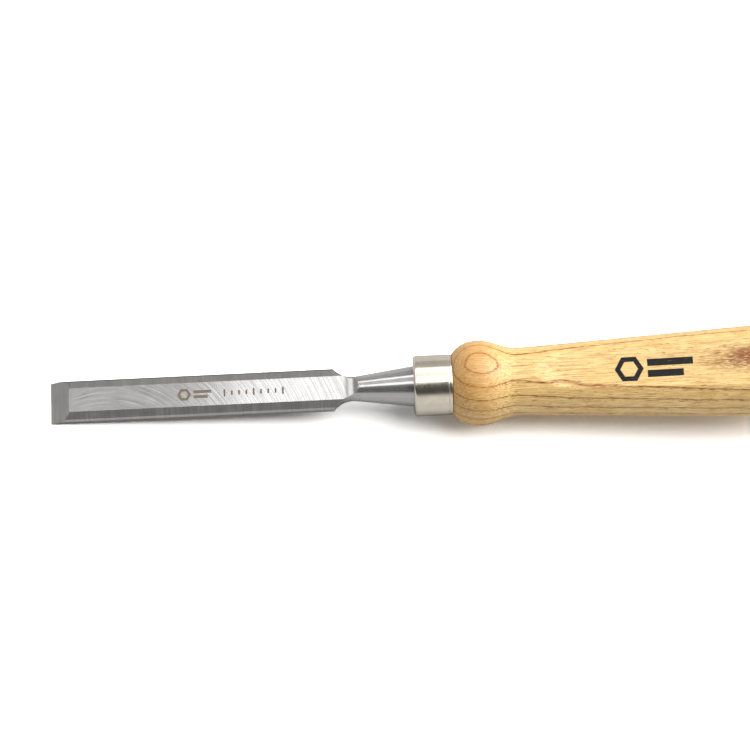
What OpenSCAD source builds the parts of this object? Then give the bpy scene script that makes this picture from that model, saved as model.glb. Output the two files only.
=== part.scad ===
// Bevel-edged woodworking chisel: a forged blade, a leather washer, a ferrule, a handle and a striking hoop.
// +X runs from the cutting edge to the butt, +Z is the bevelled side, and the origin is the middle of the
// cutting edge on the flat back. Lengths are in millimetres.

/* [Blade] */
// Width of the cutting edge
blade_w = 14; // [12:0.5:16]
// Cutting edge to the shoulder corners
blade_l = 93.4; // [80:0.1:110]
// Angle of the ground tip, in degrees
tip_angle = 29.5; // [25:0.5:35]
// Thickness where the tip bevel ends
heel_t = 3.7; // [3.4:0.1:3.9]
// Thickness at the shoulder
shoulder_t = 3.9; // [3.9:0.1:4.2]
// Width of the flat along the top, between the side bevels
flat_w = 8; // [7:0.25:9]
// Slope of the side bevels, in degrees
side_angle = 24.5; // [18:0.5:26]
// Width of the small chamfer where a side bevel meets the side
edge_break = 0.6; // [0.3:0.1:0.8]

/* [Neck and tang] */
// Diameter of the neck at its thinnest
neck_d = 8.1; // [7.6:0.1:8.6]
// Radius of the curves between the blade and the neck
sweep_r = 8; // [7.4:0.1:9]
// Thinnest part of the neck to the front of the ferrule
bolster_l = 20.1; // [17.5:0.1:22]
// Half angle of the bolster's cone, in degrees
bolster_angle = 7.6; // [6.6:0.2:7.6]
// Height of the handle's axis above the flat back
axis_h = 1.5; // [1.2:0.1:1.9]
// Length of the tang inside the washer and the handle
tang_l = 64; // [50:1:70]
// Side of the square tang at the bolster
tang_w = 6.4; // [5.6:0.2:7]
// Side of the square tang at its end
tang_end_w = 3.2; // [2.6:0.2:4]

/* [Ferrule and washer] */
// Outside diameter of the ferrule
ferrule_d = 20; // [19.4:0.1:20.6]
// Length of the ferrule
ferrule_l = 12.7; // [10:0.1:14]
// Wall thickness of the ferrule
ferrule_wall = 1; // [0.8:0.1:1.2]
// Radius round the ferrule's front edge
ferrule_round = 1.1; // [0.8:0.1:1.4]
// Thickness of the leather washer
washer_t = 1.8; // [1.2:0.2:2.4]

/* [Handle] */
// Length of the handle behind the ferrule
handle_l = 135; // [128:0.5:145]
// Diameter of the round bulb next to the ferrule
bulb_d = 28.2; // [27:0.2:29.4]
// Ferrule to the middle of the bulb
bulb_x = 8.3; // [7.5:0.1:9]
// Diameter of the waist behind the bulb
waist_d = 22.4; // [21.8:0.1:23]
// Ferrule to the waist
waist_x = 21.3; // [20:0.1:22.5]
// Growth of the radius for each millimetre towards the butt
body_flare = 0.0505; // [0.046:0.0005:0.055]
// Distance between the two flats where they reach full depth
flats_w = 20.4; // [19.6:0.1:21]
// Growth of that half distance for each millimetre towards the butt
flats_flare = 0.035; // [0.03:0.001:0.04]
// Ferrule to the place where the flats reach full depth
flats_x = 37; // [35:0.1:40]
// Radius of the cutter that runs the flats in
flats_cutter_r = 10; // [6:0.5:14]

/* [Striking hoop] */
// Outside diameter of the hoop
hoop_d = 25; // [24:0.2:26]
// Length of the hoop
hoop_l = 9; // [7:0.5:10]
// Wall thickness of the hoop
hoop_wall = 1.4; // [1.2:0.1:1.8]

/* [Hidden] */

steel = "silver";
nickel = "gainsboro";
ash = "burlywood";
leather = "saddlebrown";

round_fn = 128;
// Half length of cutting shapes, larger than anything across the chisel
reach = 40;
// Overlap of shapes that are joined, and spare length where a cutter leaves a shape
lap = 0.5;
// Room between rings and their seats, and round the tang
gap = 0.05;
tang_gap = 0.1;

neck_r = neck_d / 2;
sweep_top_r = blade_w / 2 + 0.6;
sweep_angle = acos(1 - (sweep_top_r - neck_r) / sweep_r);
shoulder_angle = acos(1 - (blade_w / 2 - neck_r) / sweep_r);
neck_x = blade_l + sweep_r * sin(shoulder_angle);
sweep_x = neck_x - sweep_r * sin(sweep_angle);
heel_x = heel_t / tan(tip_angle);
taper = atan((shoulder_t - heel_t) / (blade_l - heel_x));
bevel_reach = blade_w / 2 - edge_break - flat_w / 2;
bevel_drop = bevel_reach * tan(side_angle);
grind_end = neck_x - 3;
back_end = grind_end - 1;

ferrule_x = neck_x + bolster_l;
ferrule_end = ferrule_x + ferrule_l;
ferrule_r = ferrule_d / 2;
ferrule_bore_r = ferrule_r - ferrule_wall;
bolster_end = ferrule_x + ferrule_wall;
cone_x = neck_x + sweep_r * sin(bolster_angle);
cone_r = neck_r + sweep_r * (1 - cos(bolster_angle));
bolster_r = cone_r + (bolster_end - cone_x) * tan(bolster_angle);
nose_x = bolster_end + washer_t;

bulb_r = bulb_d / 2;
bulb_curve_r = bulb_x + 1.9;
bulb_end = bulb_x + 0.6;
waist_r = waist_d / 2;
waist_bend = 8;
body_x = waist_x + waist_bend;
body_r = waist_r + body_flare * waist_bend / 2;
crown_l = 3.5;
hoop_x = handle_l - crown_l - hoop_l;
hoop_r = hoop_d / 2;
seat_r = hoop_r - hoop_wall;
turn_in = 20;
full_x = hoop_x - turn_in;
full_r = body_r + body_flare * (full_x - body_x);
flats_tilt = atan(flats_flare);

// ---- Shapes shared by the sub-parts ----

// Turns an outline of [radius, x] points about the handle's axis
module turned(outline) {
    translate([0, 0, axis_h])
        rotate([0, 90, 0])
            rotate_extrude($fn = round_fn)
                polygon(outline);
}

// Everything above the plane z = 0 from x = start to x = stop, ending in the curve of a wheel of that radius
module wheel_cut(start, stop, wheel_r) {
    rotate([90, 0, 0])
        linear_extrude(2 * reach, center = true) {
            translate([start, 0])
                square([stop - start, 2 * wheel_r]);
            translate([stop, wheel_r])
                circle(wheel_r, $fn = round_fn);
        }
}

// A long square wedge about the handle's axis, from side w1 at x1 to side w2 at x2
module square_wedge(x1, w1, x2, w2) {
    side = [[x1, -w1 / 2], [x2, -w2 / 2], [x2, w2 / 2], [x1, w1 / 2]];
    translate([0, 0, axis_h])
        intersection() {
            linear_extrude(reach, center = true)
                polygon(side);
            rotate([90, 0, 0])
                linear_extrude(reach, center = true)
                    polygon(side);
        }
}

// ---- Blade ----

// Concave sweep from the shoulders to the neck, and the bolster's cone
module turned_shank() {
    steps = 12;
    sweep = [
        for (i = [0:steps])
            let (a = sweep_angle - (sweep_angle + bolster_angle) * i / steps)
                [neck_r + sweep_r * (1 - cos(a)), neck_x - sweep_r * sin(a)]
    ];
    turned(concat([[0, sweep_x]], sweep, [[bolster_r, bolster_end], [0, bolster_end]]));
}

// The forging before it is ground, no wider than the blade in front of the neck
module forging() {
    intersection() {
        union() {
            translate([0, -blade_w / 2, -reach / 2])
                cube([sweep_x + lap, blade_w, reach]);
            turned_shank();
        }
        union() {
            translate([0, -blade_w / 2, -reach / 4])
                cube([neck_x, blade_w, reach / 2]);
            translate([neck_x - lap, -reach / 2, -reach / 2])
                cube([bolster_end, reach, reach]);
        }
    }
}

// One long face ground on the top: its middle line at [y, z] above the heel, turned by roll degrees
module long_grind(y, z, roll) {
    translate([heel_x, y, z])
        rotate([0, -taper, 0])
            rotate([roll, 0, 0])
                wheel_cut(-heel_x - lap, grind_end - heel_x, sweep_r);
}

module blade() {
    color(steel) {
        difference() {
            forging();
            long_grind(0, heel_t, 0);
            for (side = [-1, 1]) {
                long_grind(side * flat_w / 2, heel_t, -side * side_angle);
                long_grind(side * (flat_w / 2 + bevel_reach), heel_t - bevel_drop, -side * 45);
            }
            // Flat back
            rotate([180, 0, 0])
                wheel_cut(-lap, back_end, sweep_r);
            // Tip bevel
            rotate([0, -tip_angle, 0])
                translate([-reach / 4, -reach / 2, 0])
                    cube([1.5 * reach, reach, reach / 2]);
        }
        square_wedge(bolster_end - lap, tang_w, bolster_end + tang_l, tang_end_w);
    }
}

// ---- Washer, ferrule and hoop ----

module shock_washer() {
    color(leather)
        difference() {
            turned([[0, bolster_end + gap], [ferrule_bore_r - gap, bolster_end + gap],
                    [ferrule_bore_r - gap, nose_x - gap], [0, nose_x - gap]]);
            square_wedge(bolster_end - lap, tang_w + 2 * tang_gap, nose_x + lap, tang_w + 2 * tang_gap);
        }
}

// Cup with a rounded front edge, a hole for the bolster and a fine groove in front of its rear rim
module ferrule() {
    hole_r = bolster_r + 2 * gap;
    round_steps = 6;
    groove_x = ferrule_end - 1.1;
    groove = 0.15;
    rim_chamfer = 0.2;
    front = [
        for (i = [0:round_steps])
            let (a = 90 * i / round_steps)
                [ferrule_r - ferrule_round * (1 - sin(a)), ferrule_x + ferrule_round * (1 - cos(a))]
    ];
    rim = [[ferrule_r, groove_x], [ferrule_r - groove, groove_x + groove], [ferrule_r, groove_x + 2 * groove],
           [ferrule_r, ferrule_end - rim_chamfer], [ferrule_r - rim_chamfer, ferrule_end]];
    inside = [[ferrule_bore_r, ferrule_end], [ferrule_bore_r, bolster_end], [hole_r, bolster_end]];
    color(nickel)
        turned(concat([[hole_r, ferrule_x]], front, rim, inside));
}

// Plain ring with chamfered outer edges
module striking_hoop() {
    chamfer = 0.5;
    front = ferrule_end + hoop_x + gap;
    rear = front + hoop_l;
    color(steel)
        turned([[seat_r + gap, front], [hoop_r - chamfer, front], [hoop_r, front + chamfer],
                [hoop_r, rear - chamfer], [hoop_r - chamfer, rear], [seat_r + gap, rear]]);
}

// ---- Handle ----

// Radius of the turned handle at a distance behind the ferrule
function turned_r(x) =
    x < bulb_x ? bulb_r - bulb_curve_r + sqrt(bulb_curve_r ^ 2 - (bulb_x - x) ^ 2)
    : x < bulb_end ? bulb_r
    : x < waist_x ? waist_r + (bulb_r - waist_r) * (1 + cos(180 * (x - bulb_end) / (waist_x - bulb_end))) / 2
    : x < body_x ? waist_r + body_flare * (x - waist_x) ^ 2 / (2 * waist_bend)
    : x < full_x ? body_r + body_flare * (x - body_x)
    : full_r + body_flare * (x - full_x) - turn_in_bend * (x - full_x) ^ 2;

turn_in_bend = (full_r + body_flare * turn_in - hoop_r) / turn_in ^ 2;

// Distances at which the turned outline gets a point
function spread(from, to, n) = [for (i = [0:n - 1]) from + (to - from) * i / n];
stations = concat(spread(0, bulb_x, 8), spread(bulb_x, bulb_end, 1), spread(bulb_end, waist_x, 10),
                  spread(waist_x, body_x, 3), [body_x], spread(full_x, hoop_x, 8), [hoop_x]);

module turned_handle() {
    nose_chamfer = 0.6;
    nose_r = ferrule_bore_r - gap;
    crown_r = 7.5;
    crown_steps = 6;
    nose = [[0, nose_x], [nose_r - nose_chamfer, nose_x], [nose_r, nose_x + nose_chamfer],
            [nose_r, ferrule_end + gap]];
    body = [for (x = stations) [turned_r(x), ferrule_end + gap + x]];
    crown = [
        for (i = [0:crown_steps])
            let (a = 90 * i / crown_steps)
                [crown_r + (seat_r - crown_r) * cos(a), ferrule_end + hoop_x + hoop_l + crown_l * sin(a)]
    ];
    turned(concat(nose, body, [[seat_r, ferrule_end + gap + hoop_x]], crown, [[0, ferrule_end + handle_l]]));
}

// The upper flat at side 0 or the lower one at side 1, run in by a round cutter
module flat_cut(side) {
    translate([0, 0, axis_h])
        rotate([180 * side, 0, 0])
            translate([ferrule_end + flats_x, 0, flats_w / 2])
                rotate([0, -flats_tilt, 0])
                    mirror([1, 0, 0])
                        wheel_cut(-handle_l, 0, flats_cutter_r);
}

module handle() {
    socket_end = bolster_end + tang_l + 2;
    color(ash)
        difference() {
            turned_handle();
            for (side = [0, 1])
                flat_cut(side);
            square_wedge(bolster_end, tang_w + 2 * tang_gap, socket_end, tang_end_w + 2 * tang_gap);
        }
}

blade();
shock_washer();
ferrule();
handle();
striking_hoop();
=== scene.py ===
import math

import bpy
import numpy as np
from mathutils import Euler, Matrix, Vector


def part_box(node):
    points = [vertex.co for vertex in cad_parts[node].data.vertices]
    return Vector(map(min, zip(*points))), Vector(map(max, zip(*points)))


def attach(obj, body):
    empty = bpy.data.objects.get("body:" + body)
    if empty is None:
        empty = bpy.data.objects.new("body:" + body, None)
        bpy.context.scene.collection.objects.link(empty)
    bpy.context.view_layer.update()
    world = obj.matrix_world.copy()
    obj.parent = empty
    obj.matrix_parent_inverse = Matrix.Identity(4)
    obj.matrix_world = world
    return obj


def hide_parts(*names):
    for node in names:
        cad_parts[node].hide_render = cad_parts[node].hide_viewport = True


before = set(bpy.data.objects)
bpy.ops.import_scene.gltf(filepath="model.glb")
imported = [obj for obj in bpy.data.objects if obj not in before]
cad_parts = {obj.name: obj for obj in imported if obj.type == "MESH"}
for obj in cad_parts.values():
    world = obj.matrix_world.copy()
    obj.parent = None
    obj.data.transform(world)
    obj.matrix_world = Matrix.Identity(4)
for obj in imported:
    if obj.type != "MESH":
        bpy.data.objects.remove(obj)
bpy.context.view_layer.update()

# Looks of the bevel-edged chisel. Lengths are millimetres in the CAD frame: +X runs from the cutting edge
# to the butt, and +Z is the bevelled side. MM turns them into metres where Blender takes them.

MM = 0.001


def box_mm(node):
    """Lowest and highest corner of a CAD node, in millimetres."""
    low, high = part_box(node)
    return low / MM, high / MM


BLADE_HIGH = box_mm("blade")[1]
FERRULE_LOW, FERRULE_HIGH = box_mm("ferrule")
HANDLE_LOW, HANDLE_HIGH = box_mm("handle")
HOOP_LOW, HOOP_HIGH = box_mm("striking_hoop")

# ---- Sizes, as in the CAD ----

# Ferrule and bolster
AXIS_Z = (FERRULE_LOW.z + FERRULE_HIGH.z) / 2
FERRULE_X = FERRULE_LOW.x
FERRULE_END = FERRULE_HIGH.x
FERRULE_R = FERRULE_HIGH.y
FERRULE_WALL = 1.0
BORE_R = FERRULE_R - FERRULE_WALL
BOLSTER_END = FERRULE_X + FERRULE_WALL
BOLSTER_R = BLADE_HIGH.z - AXIS_Z
BOLSTER_ANGLE = math.radians(7.6)

# Blade. The sweep is turned from a round a little wider than the blade, and grinding stops before the neck.
BLADE_HALF = BLADE_HIGH.y
TIP_ANGLE = math.radians(29.5)
HEEL_T = 3.7
SHOULDER_T = 3.9
FLAT_HALF = 8.0 / 2
SIDE_ANGLE = math.radians(24.5)
EDGE_BREAK = 0.6
BLADE_L = 93.4
NECK_R = 8.1 / 2
SWEEP_R = 8.0
SWEEP_TOP_R = BLADE_HALF + 0.6
SHOULDER_ANGLE = math.acos(1 - (BLADE_HALF - NECK_R) / SWEEP_R)
SWEEP_ANGLE = math.acos(1 - (SWEEP_TOP_R - NECK_R) / SWEEP_R)
NECK_X = BLADE_L + SWEEP_R * math.sin(SHOULDER_ANGLE)
SWEEP_X = NECK_X - SWEEP_R * math.sin(SWEEP_ANGLE)
HEEL_X = HEEL_T / math.tan(TIP_ANGLE)
GRIND_END = NECK_X - 3
BACK_END = GRIND_END - 1
BEVEL_REACH = BLADE_HALF - EDGE_BREAK - FLAT_HALF
TAPER = (SHOULDER_T - HEEL_T) / (BLADE_L - HEEL_X)
TANG_W = 6.4
TANG_END_W = 3.2

# Handle and hoop. The X sizes of the handle are counted from the back of the ferrule.
BULB_R = HANDLE_HIGH.z - AXIS_Z
BULB_X = 8.3
BULB_CURVE_R = BULB_X + 1.9
BULB_END = BULB_X + 0.6
WAIST_R = 22.4 / 2
WAIST_X = 21.3
WAIST_BEND = 8.0
BODY_X = WAIST_X + WAIST_BEND
BODY_FLARE = 0.0505
BODY_R = WAIST_R + BODY_FLARE * WAIST_BEND / 2
FLAT_DEPTH = 20.4 / 2
FLATS_FLARE = 0.035
FLATS_X = 37.0
HOOP_X = HOOP_LOW.x - FERRULE_END
HOOP_L = HOOP_HIGH.x - HOOP_LOW.x
HOOP_R = HOOP_HIGH.y
HOOP_WALL = 1.4
SEAT_R = HOOP_R - HOOP_WALL
TURN_IN = 20.0
FULL_X = HOOP_X - TURN_IN
FULL_R = BODY_R + BODY_FLARE * (FULL_X - BODY_X)
TURN_IN_BEND = (FULL_R + BODY_FLARE * TURN_IN - HOOP_R) / TURN_IN ** 2
CROWN_R = 7.5
CROWN_L = HANDLE_HIGH.x - FERRULE_END - HOOP_X - HOOP_L

# Room in the pressed fits
GAP = 0.05

# ---- Sizes of the looks alone ----

# Rounding of the blade's edges, and the thickness left at its cutting edge
EDGE_R = 0.13
MIN_EDGE = 0.03
# Directions of the blade's ground faces about the axis, in degrees
BLADE_FACES = [0, 45, 65.5, 90, 114.5, 135, 180, 270]
# Length over which the handle's flats fade in
RUN_IN = 13.0
# Small break at the ferrule's rear bore, and rounding of the handle's round sections
CORNER = 0.1


# ---- Meshes ----

def spread(start, stop, step):
    """Evenly spaced values from start to stop, no further apart than step."""
    count = max(1, math.ceil((stop - start) / step - 1e-6))
    return [start + (stop - start) * i / count for i in range(count + 1)]


def merged(*lists):
    """Sorted values of several lists, without near repeats."""
    values = sorted(v for part in lists for v in part)
    return [v for i, v in enumerate(values) if i == 0 or v - values[i - 1] > 1e-4]


def directions(face_angles, step=4.0, edge=1.5):
    """Outward angles in radians, none of them nearer than edge degrees to a flat face's direction."""
    around = []
    faces = sorted(face_angles)
    for i, face in enumerate(faces):
        following = faces[(i + 1) % len(faces)] + (360 if i + 1 == len(faces) else 0)
        around += spread(face + edge, following - edge, step)
    return np.radians(np.array(around))


def section(planes, disc, angles, rounding):
    """Points of one convex cross-section about the axis, one for each outward angle.

    Planes are (angle in degrees, distance), and disc is a radius or None. The corners are rounded by
    shrinking the shape and growing it again."""
    no_disc = 60.0
    radius = (disc or no_disc) - rounding
    turn = np.linspace(0, 2 * math.pi, 361)[:-1]
    loop = [(radius * math.cos(a), radius * math.sin(a)) for a in turn]
    for degrees, distance in planes:
        nx, ny = math.cos(math.radians(degrees)), math.sin(math.radians(degrees))
        limit = distance - rounding
        clipped = []
        for (ax, ay), (bx, by) in zip(loop, loop[1:] + loop[:1]):
            da, db = ax * nx + ay * ny - limit, bx * nx + by * ny - limit
            if da <= 0:
                clipped.append((ax, ay))
            if da * db < 0:
                t = da / (da - db)
                clipped.append((ax + t * (bx - ax), ay + t * (by - ay)))
        loop = clipped
    corners = np.array(loop)
    facing = np.stack([np.cos(angles), np.sin(angles)], 1)
    return corners[np.argmax(facing @ corners.T, axis=1)] + rounding * facing


def loft(name, rows):
    """A closed mesh from rows of (x, points around the axis as [y, z]), capped at both ends."""
    count = len(rows[0][1])
    verts = [(x * MM, y * MM, (z + AXIS_Z) * MM) for x, points in rows for y, z in points]
    faces = []
    for i in range(len(rows) - 1):
        for j in range(count):
            k = (j + 1) % count
            faces.append((i * count + j, i * count + k, (i + 1) * count + k, (i + 1) * count + j))
    faces.append(tuple(range(count)))
    faces.append(tuple((len(rows) - 1) * count + j for j in reversed(range(count))))
    return finished_mesh(name, verts, faces)


def finished_mesh(name, verts, faces):
    """An object with its faces turned outwards, shaded smooth but with flat faces kept flat."""
    mesh = bpy.data.meshes.new(name)
    mesh.from_pydata(verts, [], faces)
    mesh.validate()
    piece = bpy.data.objects.new(name, mesh)
    bpy.context.scene.collection.objects.link(piece)
    bpy.context.view_layer.objects.active = piece
    piece.select_set(True)
    bpy.ops.object.mode_set(mode="EDIT")
    bpy.ops.mesh.select_all(action="SELECT")
    bpy.ops.mesh.normals_make_consistent(inside=False)
    bpy.ops.object.mode_set(mode="OBJECT")
    piece.select_set(False)
    mesh.polygons.foreach_set("use_smooth", [True] * len(mesh.polygons))
    mesh.set_sharp_from_angle(angle=math.radians(40))
    even = piece.modifiers.new("weighted_normals", "WEIGHTED_NORMAL")
    even.keep_sharp = True
    even.weight = 50
    return piece


def lathe(name, outline, segments=160):
    """A closed ring turned about the handle's axis from a closed outline of (x, radius)."""
    count = len(outline)
    verts = []
    for s in range(segments):
        a = 2 * math.pi * s / segments
        verts += [(x * MM, r * math.cos(a) * MM, (r * math.sin(a) + AXIS_Z) * MM) for x, r in outline]
    faces = []
    for s in range(segments):
        t = (s + 1) % segments
        for i in range(count):
            k = (i + 1) % count
            faces.append((s * count + i, s * count + k, t * count + k, t * count + i))
    return finished_mesh(name, verts, faces)


def arc(x, r, radius, start, stop, steps):
    """Points (x, r) along an arc about (x, r), with the angles in degrees from the +X direction."""
    angles = np.radians(np.linspace(start, stop, steps + 1))
    return [(x + radius * math.cos(a), r + radius * math.sin(a)) for a in angles]


# ---- Blade ----

def run_out(x, end, wheel_r):
    """Height that a grinding wheel leaves behind the end of its flat pass."""
    if x <= end:
        return 0.0
    return wheel_r - math.sqrt(max(wheel_r ** 2 - min(x - end, wheel_r) ** 2, 0))


def shank_r(x):
    """Radius of the turned sweep and of the bolster's cone, or None in front of them."""
    cone_x = NECK_X + SWEEP_R * math.sin(BOLSTER_ANGLE)
    if x < SWEEP_X:
        return None
    if x < cone_x:
        return NECK_R + SWEEP_R - math.sqrt(SWEEP_R ** 2 - (NECK_X - x) ** 2)
    return NECK_R + SWEEP_R * (1 - math.cos(BOLSTER_ANGLE)) + (x - cone_x) * math.tan(BOLSTER_ANGLE)


def blade_planes(x):
    """The ground faces at one station, as (direction, distance from the axis). The top flat comes first."""
    lift = run_out(x, GRIND_END, SWEEP_R)
    middle = HEEL_T + (x - HEEL_X) * TAPER
    top = middle + lift
    if x < HEEL_X + 2:
        # The tip bevel meets the flat at the heel, and soft rounds that corner.
        soft = 0.04
        tip = max(x * math.tan(TIP_ANGLE), MIN_EDGE)
        top = (top + tip - math.sqrt((top - tip) ** 2 + soft ** 2)) / 2
    back = AXIS_Z + run_out(x, BACK_END, SWEEP_R)
    planes = [(90, top - AXIS_Z), (270, back), (0, BLADE_HALF), (180, BLADE_HALF)]
    drop = BEVEL_REACH * math.tan(SIDE_ANGLE)
    for roll, y, z in ((SIDE_ANGLE, FLAT_HALF, middle),
                       (math.radians(45), FLAT_HALF + BEVEL_REACH, middle - drop)):
        distance = y * math.sin(roll) + (z - AXIS_Z) * math.cos(roll) + lift
        planes += [(90 - math.degrees(roll), distance), (90 + math.degrees(roll), distance)]
    return planes


def tang_half(x):
    """Half the tang's side at a station behind the bolster."""
    share = (x - BOLSTER_END) / (BLADE_HIGH.x - BOLSTER_END)
    return (TANG_W + (TANG_END_W - TANG_W) * share) / 2


def make_blade():
    """The whole forging: ground blade, neck, bolster and square tang."""
    thin_share = 0.35
    tang_rounding = 0.3
    sweep_done = NECK_X + 8
    angles = directions(BLADE_FACES)
    # The stations are closest where the shape bends.
    stations = merged(spread(0, HEEL_X, 0.25),
                      spread(HEEL_X, HEEL_X + 1, 0.1),
                      spread(HEEL_X + 1, SWEEP_X, 2.5),
                      spread(SWEEP_X, sweep_done, 0.2),
                      spread(sweep_done, BOLSTER_END, 1.0))
    rows = []
    for x in stations:
        planes = blade_planes(x)
        thickness = planes[0][1] + planes[1][1]
        rounding = min(EDGE_R, thickness * thin_share)
        rows.append((x, section(planes, shank_r(x), angles, rounding)))
    for x in spread(BOLSTER_END, BLADE_HIGH.x, 4.0):
        half = tang_half(x)
        rows.append((x, section([(a, half) for a in (0, 90, 180, 270)], None, angles, tang_rounding)))
    return loft("chisel_blade", rows)


# ---- Ferrule, hoop and handle ----

def make_ferrule():
    """The drawn cup, with a round front edge, a fine groove near its rim, and a hole for the bolster."""
    front_r = 1.1
    rim_r = 0.25
    groove = 0.12
    groove_side = groove * 0.7
    groove_half = 0.2
    groove_x = FERRULE_END - 1.1
    hole_r = BOLSTER_R + 0.1
    hole_break = 0.15
    hole_back_break = 0.08
    inner_r = 0.4
    outline = arc(FERRULE_X + front_r, FERRULE_R - front_r, front_r, 180, 90, 12)
    outline += [(groove_x - groove_half, FERRULE_R),
                (groove_x - groove_half / 2, FERRULE_R - groove_side),
                (groove_x, FERRULE_R - groove),
                (groove_x + groove_half / 2, FERRULE_R - groove_side),
                (groove_x + groove_half, FERRULE_R)]
    outline += arc(FERRULE_END - rim_r, FERRULE_R - rim_r, rim_r, 90, 0, 6)
    outline += [(FERRULE_END, BORE_R + CORNER),
                (FERRULE_END - CORNER, BORE_R),
                (BOLSTER_END + inner_r, BORE_R),
                (BOLSTER_END, BORE_R - inner_r),
                (BOLSTER_END, hole_r + hole_back_break),
                (BOLSTER_END - hole_back_break, hole_r),
                (FERRULE_X + hole_break, hole_r),
                (FERRULE_X, hole_r + hole_break)]
    return lathe("nickel_ferrule", outline)


def make_hoop():
    """The ring on the butt, with rounded outer edges."""
    outer_r = 0.5
    inner_break = 0.15
    inner = SEAT_R + GAP
    outline = arc(HOOP_LOW.x + outer_r, HOOP_R - outer_r, outer_r, 180, 90, 6)
    outline += arc(HOOP_HIGH.x - outer_r, HOOP_R - outer_r, outer_r, 90, 0, 6)
    outline += [(HOOP_HIGH.x, inner + inner_break),
                (HOOP_HIGH.x - inner_break, inner),
                (HOOP_LOW.x + inner_break, inner),
                (HOOP_LOW.x, inner + inner_break)]
    return lathe("butt_hoop", outline)


def turned_r(x):
    """Radius of the turned handle at a distance behind the ferrule."""
    if x < BULB_X:
        return BULB_R - BULB_CURVE_R + math.sqrt(BULB_CURVE_R ** 2 - (BULB_X - x) ** 2)
    if x < BULB_END:
        return BULB_R
    if x < WAIST_X:
        turn = math.pi * (x - BULB_END) / (WAIST_X - BULB_END)
        return WAIST_R + (BULB_R - WAIST_R) * (1 + math.cos(turn)) / 2
    if x < BODY_X:
        return WAIST_R + BODY_FLARE * (x - WAIST_X) ** 2 / (2 * WAIST_BEND)
    if x < FULL_X:
        return BODY_R + BODY_FLARE * (x - BODY_X)
    return FULL_R + BODY_FLARE * (x - FULL_X) - TURN_IN_BEND * (x - FULL_X) ** 2


def flat_distance(x):
    """Distance of the two flats from the axis. They fade softly into the turned shape at their front."""
    full = FLAT_DEPTH + FLATS_FLARE * (x - FLATS_X)
    ahead = (FLATS_X - x) / RUN_IN
    if ahead <= 0:
        return full
    return full + (turned_r(x) - full) * ahead ** 2 * (3 - 2 * ahead)


def make_handle():
    """The wood: nose, bulb, waist, body with its flats, the hoop's seat and the crown."""
    nose_break = 0.6
    front_break = 0.25
    rear_break = 0.3
    angles = directions([90, 270], step=3.0)

    def disc(x, radius):
        return x, section([], radius, angles, CORNER)

    nose_r = BORE_R - GAP
    rows = [disc(HANDLE_LOW.x, nose_r - nose_break),
            disc(HANDLE_LOW.x + nose_break, nose_r),
            disc(FERRULE_END + GAP, nose_r),
            disc(FERRULE_END + GAP, turned_r(0) - front_break)]
    stations = merged(spread(front_break, BODY_X, 0.3),
                      spread(BODY_X, FLATS_X + 1, 0.2),
                      spread(FLATS_X + 1, FULL_X, 1.5),
                      spread(FULL_X, HOOP_X - rear_break, 1.0))
    for x in stations:
        planes = [(a, flat_distance(x)) for a in (90, 270)] if x > FLATS_X - RUN_IN else []
        # The edges of the flats start softer than they go on.
        rounding = float(np.interp(x, (FLATS_X - 4, FLATS_X + 8), (2.0, 0.9)))
        rows.append((FERRULE_END + x, section(planes, turned_r(x), angles, rounding)))
    shoulder = FERRULE_END + HOOP_X
    rows += [disc(shoulder - GAP, HOOP_R - rear_break),
             disc(shoulder - GAP, SEAT_R),
             disc(shoulder + HOOP_L, SEAT_R)]
    for a in np.radians(np.linspace(8, 90, 12)):
        crown_x = shoulder + HOOP_L + CROWN_L * math.sin(a)
        rows.append(disc(crown_x, CROWN_R + (SEAT_R - CROWN_R) * math.cos(a)))
    piece = loft("ash_handle", rows)
    cut_socket(piece)
    return piece


def cut_socket(piece):
    """Cuts the square tapered socket that the tang is driven into."""
    spare = 0.1
    extra_depth = 2
    start = BOLSTER_END
    stop = BLADE_HIGH.x + extra_depth
    ends = ((start, tang_half(start) + spare), (stop, tang_half(BLADE_HIGH.x) + spare))
    corners = ((-1, -1), (1, -1), (1, 1), (-1, 1))
    verts = [(x * MM, sy * half * MM, (sz * half + AXIS_Z) * MM) for x, half in ends for sy, sz in corners]
    faces = [(0, 1, 2, 3), (7, 6, 5, 4)]
    faces += [(i, i + 4, (i + 1) % 4 + 4, (i + 1) % 4) for i in range(4)]
    cutter = finished_mesh("socket_cutter", verts, faces)
    cut = piece.modifiers.new("socket", "BOOLEAN")
    cut.operation = "DIFFERENCE"
    cut.solver = "EXACT"
    cut.object = cutter
    bpy.context.view_layer.objects.active = piece
    bpy.ops.object.modifier_move_to_index(modifier="socket", index=0)
    bpy.ops.object.modifier_apply(modifier="socket")
    bpy.data.objects.remove(cutter)


# ---- Node helpers ----

class Nodes:
    """Short names for adding nodes to a tree. Inputs are sockets to link or values to set."""

    def __init__(self, tree):
        self.tree = tree

    def node(self, kind, *inputs, **settings):
        """A new node, with its first inputs and its settings."""
        made = self.tree.nodes.new(kind)
        for key, value in settings.items():
            setattr(made, key, value)
        for slot, value in enumerate(inputs):
            self.feed(made.inputs[slot], value)
        return made

    def feed(self, socket, value):
        """Links or sets an input. None leaves it as it is."""
        if isinstance(value, bpy.types.NodeSocket):
            self.tree.links.new(value, socket)
        elif value is not None:
            socket.default_value = value

    def math(self, operation, *inputs):
        return self.node("ShaderNodeMath", *inputs, operation=operation).outputs[0]

    def add(self, *terms):
        total = terms[0]
        for term in terms[1:]:
            total = self.math("ADD", total, term)
        return total

    def times(self, a, b):
        return self.math("MULTIPLY", a, b)

    def band(self, value, low, high, to_low=0.0, to_high=1.0):
        """Goes smoothly from to_low to to_high as value goes from low to high."""
        return self.node("ShaderNodeMapRange", value, low, high, to_low, to_high,
                         interpolation_type="SMOOTHSTEP").outputs[0]


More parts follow.
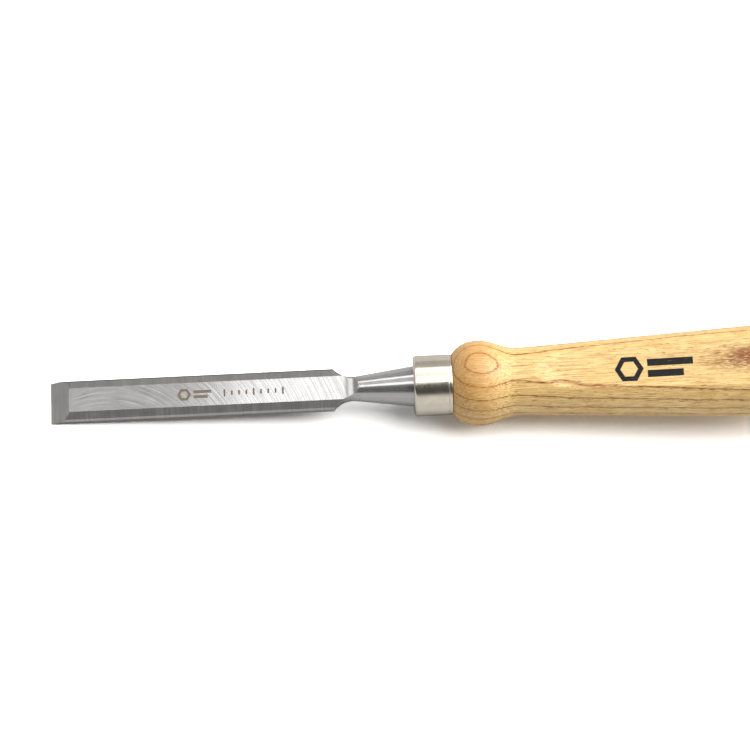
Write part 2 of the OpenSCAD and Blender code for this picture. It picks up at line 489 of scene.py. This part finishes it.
class Graph(Nodes):
    """The nodes of one material. Positions are in millimetres in the CAD frame."""

    def __init__(self, name):
        self.material = bpy.data.materials.new(name)
        self.material.use_nodes = True
        super().__init__(self.material.node_tree)
        self.shader = self.tree.nodes["Principled BSDF"]
        place = self.node("ShaderNodeTexCoord").outputs["Object"]
        self.place = self.scaled(place, (1 / MM, 1 / MM, 1 / MM))
        split = self.node("ShaderNodeSeparateXYZ", self.place)
        self.x, self.y, self.z = split.outputs

    def scaled(self, vector, factors):
        return self.node("ShaderNodeVectorMath", vector, factors, operation="MULTIPLY").outputs[0]

    def moved(self, vector, offset):
        return self.node("ShaderNodeVectorMath", vector, offset, operation="ADD").outputs[0]

    def length(self, vector):
        return self.node("ShaderNodeVectorMath", vector, operation="LENGTH").outputs[1]

    def noise(self, vector, scale, detail, rough):
        """Noise from about 0.2 to 0.8, with features of about 1 / scale."""
        return self.node("ShaderNodeTexNoise", vector, None, scale, detail, rough).outputs[0]

    def blend(self, share, a, b):
        """Goes from number a to number b as share goes from 0 to 1."""
        return self.node("ShaderNodeMix", share, None, a, b).outputs[0]

    def bump_in(self, value, middle, width, soft):
        """1 within width of middle, 0 outside, with soft edges."""
        away = self.math("ABSOLUTE", self.math("SUBTRACT", value, middle))
        return self.band(away, width, width + soft, 1.0, 0.0)

    def mix(self, share, a, b):
        """Goes from colour a to colour b as share goes from 0 to 1."""
        made = self.node("ShaderNodeMix", share, data_type="RGBA")
        # This node has its colour inputs behind those for numbers and vectors.
        self.feed(made.inputs[6], a)
        self.feed(made.inputs[7], b)
        return made.outputs[2]

    def set(self, **values):
        """Feeds the material's own shader."""
        names = {"color": "Base Color", "metal": "Metallic", "rough": "Roughness", "normal": "Normal",
                 "coat": "Coat Weight", "coat_rough": "Coat Roughness", "shine": "Specular IOR Level"}
        for key, value in values.items():
            self.feed(self.shader.inputs[names[key]], value)

    def bump(self, height, distance, strength):
        """Normal from a height, of which 1 stands for distance millimetres."""
        made = self.node("ShaderNodeBump")
        made.inputs["Strength"].default_value = strength
        made.inputs["Distance"].default_value = distance * MM
        self.feed(made.inputs["Height"], height)
        return made.outputs[0]


def tone(red, green, blue):
    """A colour given in sRGB bytes, as the linear values that nodes take."""
    def linear(byte):
        v = byte / 255
        return v / 12.92 if v <= 0.04045 else ((v + 0.055) / 1.055) ** 2.4
    return linear(red), linear(green), linear(blue), 1.0


# ---- Materials ----

def hexagon(g, x, y, radius):
    """0 on a hexagon's outline, less inside and more outside. radius is from the middle to a side."""
    across = g.math("ABSOLUTE", y)
    slanted = g.add(g.times(g.math("ABSOLUTE", x), math.sin(math.radians(60))), g.times(across, 0.5))
    return g.math("SUBTRACT", g.math("MAXIMUM", across, slanted), radius)


def bar(g, x, y, cx, cy, half_x, half_y, soft):
    """1 inside a rectangle about (cx, cy), 0 outside, with soft edges."""
    return g.times(g.bump_in(x, cx, half_x, soft), g.bump_in(y, cy, half_y, soft))


def steel():
    """Tool steel: ground on the blade, smooth on the neck, with a plain etched mark on the top flat."""
    g = Graph("ground_steel")
    normal = g.node("ShaderNodeNewGeometry").outputs["Normal"]
    facing = g.node("ShaderNodeSeparateXYZ", normal).outputs
    on_blade = g.band(g.x, GRIND_END - 0.5, GRIND_END + 6.5, 1.0, 0.0)
    flat_top = g.band(facing[2], 0.975, 0.99)

    # Marks of a cup wheel on the top flat, of a cross feed on the bevels, and a fine grain on the neck
    wheel_x = 18.0
    wheel_y = -30.0
    from_centre = g.scaled(g.moved(g.place, (-wheel_x, -wheel_y, 0.0)), (1, 1, 0))
    across = g.times(g.length(from_centre), 2.5)
    round_wheel = g.node("ShaderNodeCombineXYZ", across, g.times(g.x, 0.05), 0.0).outputs[0]
    swirls = g.noise(round_wheel, 1.0, 6.0, 0.75)
    cross = g.noise(g.scaled(g.place, (1.5, 0.08, 0.08)), 1.0, 5.0, 0.7)
    blotch = g.noise(g.place, 0.25, 2.0, 0.6)
    grains = g.noise(g.place, 4.0, 3.0, 0.6)
    lines = g.blend(on_blade, grains, g.blend(flat_top, cross, swirls))
    contrast = g.blend(g.times(on_blade, flat_top), 0.45, 1.0)
    tooling = g.times(g.math("SUBTRACT", lines, 0.5), contrast)

    base_rough = g.blend(on_blade, 0.15, g.blend(flat_top, 0.27, 0.18))
    rough = g.add(g.times(tooling, 0.25), g.times(blotch, 0.06), base_rough)
    value = g.add(g.times(tooling, 0.75), g.times(blotch, 0.08), g.blend(on_blade, 0.44, 0.50))

    # The flat is darker towards the tip, partly from a duller grind and partly as painted shade where it
    # reflects less light. Painted shade on the sides: they are darker the steeper they are, and darker
    # towards +Y.
    flat_grind_and_painted_shade = g.times(flat_top, g.band(g.x, 38.0, 76.0, 0.60, 1.20))
    side_painted_shade = g.blend(on_blade, 1.0, g.band(facing[2], 0.60, 0.95, 0.5, 1.0))
    side_painted_shade = g.times(side_painted_shade, g.blend(on_blade, 1.0, g.band(facing[1], -0.4, 0.4, 1.35, 0.65)))
    off_flat = g.math("SUBTRACT", 1.0, flat_top)
    value = g.times(value, g.add(flat_grind_and_painted_shade, g.times(off_flat, side_painted_shade)))
    less = g.times(value, 0.985)
    color = g.node("ShaderNodeCombineColor", less, less, value).outputs[0]

    mark = g.times(etched_mark(g), flat_top)
    color = g.mix(mark, color, tone(84, 75, 62))
    rough = g.blend(mark, rough, 0.6)
    metal = g.blend(mark, g.blend(on_blade, 0.88, 1.0), 0.2)

    height = g.add(tooling, g.times(mark, -0.8))
    g.set(color=color, metal=metal, rough=rough, normal=g.bump(height, 0.012, 0.6))
    return g.material


def etched_mark(g):
    """A hexagon ring, plain bars and a row of ticks, in place of lettering."""
    soft = 0.08
    ring_x = 44.2
    first_tick_x = 57.5
    tick_pitch = 2.4
    ring = g.bump_in(hexagon(g, g.math("SUBTRACT", g.x, ring_x), g.y, 1.55), 0.0, 0.42, soft)
    total = g.math("MAXIMUM", ring, bar(g, g.x, g.y, ring_x + 6.0, 0.85, 2.9, 0.5, soft))
    total = g.math("MAXIMUM", total, bar(g, g.x, g.y, ring_x + 5.4, -0.85, 2.3, 0.5, soft))
    for i in range(9):
        height = 1.2 if i % 4 == 0 else 0.75
        tick = bar(g, g.x, g.y, first_tick_x + tick_pitch * i, 0.0, 0.28, height, soft)
        total = g.math("MAXIMUM", total, tick)
    return total


def ash():
    """Lacquered ash: rings about a pith above the handle, pores along the grain, a plain printed mark."""
    g = Graph("lacquered_ash")
    local_x = g.math("SUBTRACT", g.x, FERRULE_END)

    # Grain, all of it drawn out along the handle. The offsets keep the noises from lining up.
    fibre = g.noise(g.scaled(g.place, (0.10, 3.2, 3.2)), 1.0, 5.0, 0.65)
    streak = g.noise(g.scaled(g.moved(g.place, (31, 7, 3)), (0.08, 2.6, 2.6)), 1.0, 4.0, 0.6)
    mottle = g.noise(g.scaled(g.place, (0.06, 0.3, 0.3)), 1.0, 2.0, 0.5)
    dash = g.noise(g.scaled(g.moved(g.place, (5, 11, 2)), (0.40, 3.4, 3.4)), 1.0, 2.0, 0.5)

    # Each ring starts with a dark line and has most of its pores in its first part.
    phase = ring_phase(g, local_x)
    line = g.math("MAXIMUM", g.band(phase, 0.05, 0.15, 1.0, 0.0), g.band(phase, 0.97, 1.0, 0.0, 1.0))
    early = g.band(phase, 0.0, 0.45, 1.0, 0.0)
    pore_limit = g.blend(early, 0.63, 0.55)
    pores = g.band(g.math("SUBTRACT", dash, pore_limit), 0.0, 0.05)

    # A brown figure on the upper flat, towards the butt
    figure_x = 97.0
    figure_y = 0.5
    figure_half_x = 20.0
    figure_half_y = 5.2
    figure_place = g.moved(g.place, (-FERRULE_END - figure_x, -figure_y, 0))
    figure_place = g.scaled(figure_place, (1 / figure_half_x, 1 / figure_half_y, 0))
    figure = g.times(g.band(g.length(figure_place), 0.2, 1.1, 1.0, 0.0), g.band(g.z, 5.0, 8.0))
    figure_dash = g.band(g.noise(g.scaled(g.place, (0.5, 3.0, 3.0)), 1.0, 3.0, 0.6), 0.40, 0.54)

    # The bulb is browner, most of all on top.
    bulb_tint = g.times(g.band(local_x, 9.0, 18.0, 1.0, 0.0), g.band(fibre, 0.2, 0.6, 1.0, 0.6))
    bulb_tint = g.times(bulb_tint, g.band(g.z, AXIS_Z - 8.0, AXIS_Z + BULB_R, 0.15, 0.70))

    color = g.mix(g.band(fibre, 0.3, 0.7), tone(164, 133, 78), tone(206, 181, 126))
    color = g.mix(g.times(g.band(mottle, 0.35, 0.7), 0.3), color, tone(186, 148, 84))
    color = g.mix(g.times(g.band(streak, 0.50, 0.62), 0.65), color, tone(154, 114, 62))
    color = g.mix(g.times(line, g.band(dash, 0.42, 0.56, 0.4, 1.0)), color, tone(118, 58, 8))
    color = g.mix(g.times(pores, 0.75), color, tone(110, 70, 34))
    color = g.mix(bulb_tint, color, tone(152, 102, 46))
    color = g.mix(g.times(g.times(figure, figure_dash), 0.9), color, tone(104, 56, 14))

    ink = g.times(printed_mark(g, local_x), g.band(g.z, 5.0, 7.0))
    ink = g.times(ink, g.band(dash, 0.66, 0.72, 1.0, 0.7))
    color = g.mix(ink, color, tone(8, 9, 14))

    rough = g.add(g.times(fibre, 0.12), g.times(pores, 0.1), 0.42)
    height = g.add(g.times(fibre, 0.25), g.times(pores, -0.8), g.times(line, -0.2), g.times(ink, 0.15))
    normal = g.bump(height, 0.03, 0.5)
    g.set(color=color, metal=0.0, rough=rough, normal=normal, coat=g.blend(ink, 0.15, 0.0),
          coat_rough=0.35, shine=g.blend(ink, 0.3, 0.15))
    return g.material


def ring_phase(g, local_x):
    """0..1 from one growth ring to the next. The pith runs above the handle and slants across it.

    first_r is the radius of the ring that runs along the near edge of the upper flat. Outside it the rings
    are evenly spaced. Inside it the spacing goes rearwards from the first to the second inner_spacing."""
    pith_z = 37.8
    pith_y = 11.5
    pith_slant = -0.085
    first_r = 29.1
    spacing = 4.05
    inner_spacing = (2.9, 4.3)
    sway = g.noise(g.scaled(g.place, (0.03, 0.05, 0.05)), 1.0, 2.0, 0.5)
    ripple = g.noise(g.scaled(g.place, (0.12, 0.10, 0.10)), 1.0, 2.0, 0.5)
    side = g.add(g.y, g.times(local_x, -pith_slant), -pith_y)
    up = g.math("SUBTRACT", g.z, AXIS_Z + pith_z)
    ring_r = g.math("SQRT", g.add(g.times(side, side), g.times(up, up)))

    # The rings aren't true circles: they flatten on the far side, spread behind the bulb, sway and ripple.
    flattened = g.times(g.math("MAXIMUM", g.add(g.y, -2.0), 0.0), g.band(local_x, 37.0, 83.0, 0.22, 0.15))
    widening = g.math("MINIMUM", g.times(local_x, 0.022), g.add(g.times(local_x, -0.0045), 0.95))
    swaying = g.times(g.add(sway, -0.5), 1.4)
    rippling = g.times(g.add(ripple, -0.5), 0.7)
    ring_r = g.add(ring_r, flattened, g.times(widening, -1.0), swaying, rippling)

    # Rings are counted outwards and inwards from first_r.
    out = g.math("SUBTRACT", ring_r, first_r)
    outer = g.times(g.math("MAXIMUM", out, 0.0), 1 / spacing)
    per_mm = g.band(local_x, 20.0, 60.0, 1 / inner_spacing[0], 1 / inner_spacing[1])
    inner = g.times(g.math("MINIMUM", out, 0.0), per_mm)
    keep_positive = 10.0
    return g.math("FRACT", g.add(outer, inner, keep_positive))


def printed_mark(g, local_x):
    """A hexagon ring and two bars printed in dark ink on the upper flat."""
    soft = 0.12
    ring_x = 57.6
    half_bar = 1.15
    y = g.add(g.y, 0.9)
    ring = g.bump_in(hexagon(g, g.math("SUBTRACT", local_x, ring_x), y, 3.3), 0.0, 0.75, soft)
    total = g.math("MAXIMUM", ring, bar(g, local_x, y, ring_x + 13.4, 1.9, 7.4, half_bar, soft))
    return g.math("MAXIMUM", total, bar(g, local_x, y, ring_x + 11.8, -1.9, 5.8, half_bar, soft))


def nickel():
    """Bright nickel plate with a slight haze, fine scratches round it and small pits."""
    g = Graph("nickel_plate")
    around = g.noise(g.scaled(g.place, (9.0, 0.25, 0.25)), 1.0, 3.0, 0.6)
    haze = g.noise(g.place, 0.35, 3.0, 0.6)
    pits = g.band(g.noise(g.place, 1.6, 2.0, 0.5), 0.70, 0.76)
    warm = g.mix(g.band(haze, 0.3, 0.7), tone(236, 228, 213), tone(228, 220, 205))
    color = g.mix(g.times(pits, 0.6), warm, tone(120, 104, 84))
    rough = g.add(g.times(around, 0.12), g.times(haze, 0.14), g.times(pits, 0.2), 0.07)
    height = g.add(g.times(around, 0.2), haze, g.times(pits, -0.6))
    g.set(color=color, metal=1.0, rough=rough, normal=g.bump(height, 0.03, 0.35))
    return g.material


def hoop_steel():
    """Turned mild steel, dark from handling, with tool lines round it and small dents from a mallet."""
    g = Graph("turned_steel")
    around = g.noise(g.scaled(g.place, (7.0, 0.12, 0.12)), 1.0, 4.0, 0.65)
    dents = g.noise(g.place, 0.55, 2.0, 0.5)
    stain = g.noise(g.moved(g.place, (3, 5, 9)), 0.3, 4.0, 0.6)
    color = g.mix(g.band(stain, 0.45, 0.75), tone(118, 117, 115), tone(92, 88, 82))
    rough = g.add(g.times(around, 0.2), g.times(stain, 0.15), 0.34)
    height = g.add(g.times(around, 0.3), g.band(dents, 0.3, 0.42))
    g.set(color=color, metal=1.0, rough=rough, normal=g.bump(height, 0.05, 0.5))
    return g.material


def leather():
    """Plain tanned leather with a fine pebbled grain."""
    g = Graph("washer_leather")
    pebble = g.node("ShaderNodeTexVoronoi", g.place, None, 2.2).outputs[0]
    shade = g.noise(g.place, 0.6, 4.0, 0.6)
    color = g.mix(g.band(shade, 0.3, 0.7), tone(112, 72, 42), tone(146, 98, 60))
    color = g.mix(g.times(g.band(pebble, 0.2, 0.6), 0.4), color, tone(84, 52, 30))
    g.set(color=color, rough=g.add(g.times(shade, 0.25), 0.5), normal=g.bump(pebble, 0.08, 0.6))
    return g.material


# ---- Stage, light and camera ----

def floor():
    """A pale floor on which the chisel rests with its tip and its bulb.

    The camera sees it overexposed, as white paper is in a bright studio, while it shows in the bright metal
    as the grey of a dimmer room."""
    half_size_in_metres = 6.0
    gap = 0.02
    bulb = Vector((FERRULE_END + (BULB_X + BULB_END) / 2, 0, AXIS_Z - BULB_R))
    slope = math.atan2(bulb.z, bulb.x)
    mesh = bpy.data.meshes.new("floor")
    corners = ((-1, -1, 0), (1, -1, 0), (1, 1, 0), (-1, 1, 0))
    mesh.from_pydata([Vector(c) * half_size_in_metres for c in corners], [], [(0, 1, 2, 3)])
    plane = bpy.data.objects.new("floor", mesh)
    plane.rotation_euler = Euler((0, -slope, 0))
    plane.location = Vector((math.sin(slope), 0, -math.cos(slope))) * gap * MM
    bpy.context.scene.collection.objects.link(plane)

    g = Graph("pale_floor")
    to_camera = 1.15
    in_metal = 0.30
    otherwise = 0.95
    paper = g.blend(g.noise(g.place, 0.01, 3.0, 0.5), 0.97, 0.99)
    ray = g.node("ShaderNodeLightPath").outputs
    exposure = g.blend(ray["Is Camera Ray"], g.blend(ray["Is Glossy Ray"], otherwise, in_metal), to_camera)
    value = g.times(paper, exposure)
    g.set(color=g.node("ShaderNodeCombineColor", value, value, value).outputs[0], rough=0.8, shine=0.0)
    mesh.materials.append(g.material)


class Sky(Nodes):
    """The world's nodes. A direction is two angles in degrees: over, from the near horizon up and over the
    chisel to the far horizon, and along, from square on towards the butt."""

    def __init__(self):
        world = bpy.data.worlds.new("studio")
        bpy.context.scene.world = world
        world.use_nodes = True
        super().__init__(world.node_tree)
        self.tree.nodes.clear()
        split = self.node("ShaderNodeSeparateXYZ", self.node("ShaderNodeTexCoord").outputs["Generated"])
        x, y, z = split.outputs
        degrees = 180 / math.pi
        self.over = self.times(self.math("ARCTAN2", z, self.times(y, -1.0)), degrees)
        self.along = self.times(self.math("ARCSINE", x), degrees)

    def strip(self, value, start, stop, soft, strength):
        """strength between start and stop, with soft edges outside them."""
        rise = self.band(value, start - soft, start)
        fall = self.band(value, stop, stop + soft, strength, 0.0)
        return self.times(rise, fall)


def light():
    """Soft studio light: two strips in a dim box over the chisel, and a soft box at each end of them."""
    sky = Sky()
    # The pale room, low in front of the chisel and low behind it
    near = sky.band(sky.over, 26.0, 46.0, 0.72, 0.05)
    far = sky.band(sky.over, 147.0, 152.0, 0.0, 0.36)

    # The box with its strips, dimmer towards the tip and ending before the butt
    box = sky.strip(sky.over, 86.0, 143.0, 5.0, 1.1)
    strips = sky.add(sky.strip(sky.over, 92.0, 98.0, 4.0, 4.2),
                     sky.strip(sky.over, 132.0, 137.0, 4.0, 4.2))
    to_tip = sky.band(sky.along, -24.0, 0.0, 0.16, 1.0)
    to_butt = sky.band(sky.along, 14.0, 20.0, 1.0, 0.0)
    middle = sky.times(sky.times(sky.add(box, strips), to_tip), to_butt)

    # The soft boxes, a weak one past the tip and a strong one past the butt
    ends = sky.add(sky.strip(sky.along, -42.0, -26.0, 5.0, 1.6),
                   sky.strip(sky.along, 20.0, 75.0, 6.0, 8.5))
    soft_boxes = sky.times(ends, sky.strip(sky.over, 81.0, 148.0, 6.0, 1.0))
    strength = sky.add(near, far, middle, soft_boxes)

    # The camera sees a plain white background in place of the lights.
    lit = sky.node("ShaderNodeBackground", (1.0, 0.985, 0.96, 1.0), strength)
    plain = sky.node("ShaderNodeBackground", (1.0, 1.0, 1.0, 1.0), 1.3)
    seen = sky.node("ShaderNodeLightPath").outputs["Is Camera Ray"]
    mix = sky.node("ShaderNodeMixShader", seen, lit.outputs[0], plain.outputs[0])
    sky.node("ShaderNodeOutputWorld", mix.outputs[0])


def camera():
    """Looks along +Y and steeply down, rolled a little so that the handle rises to the right."""
    elevation = math.radians(73)
    roll = math.radians(2.65)
    distance = 982.5
    target = Vector((107.2, 4.45, AXIS_Z))
    data = bpy.data.cameras.new("camera")
    data.lens = 143.0
    data.sensor_width = 36.0
    data.clip_start = 0.05
    data.clip_end = 50.0
    shot = bpy.data.objects.new("camera", data)
    back = Vector((0, -math.cos(elevation), math.sin(elevation)))
    tilt = Euler((math.radians(90) - elevation, 0, 0)).to_matrix().to_4x4()
    facing = Matrix.Rotation(-roll, 4, back) @ tilt
    shot.matrix_world = Matrix.Translation((target + back * distance) * MM) @ facing
    bpy.context.scene.collection.objects.link(shot)
    bpy.context.scene.camera = shot


# ---- Assembly ----

def stand_in(piece, node, material):
    """Puts a piece in the place of a CAD node, with its finish."""
    piece.data.materials.clear()
    piece.data.materials.append(material)
    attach(piece, "root")
    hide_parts(node)


stand_in(make_blade(), "blade", steel())
stand_in(make_ferrule(), "ferrule", nickel())
stand_in(make_handle(), "handle", ash())
stand_in(make_hoop(), "striking_hoop", hoop_steel())
washer_finish = leather()
for washer_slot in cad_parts["shock_washer"].material_slots:
    washer_slot.material = washer_finish

floor()
light()
camera()
bpy.context.scene.view_settings.view_transform = "Standard"
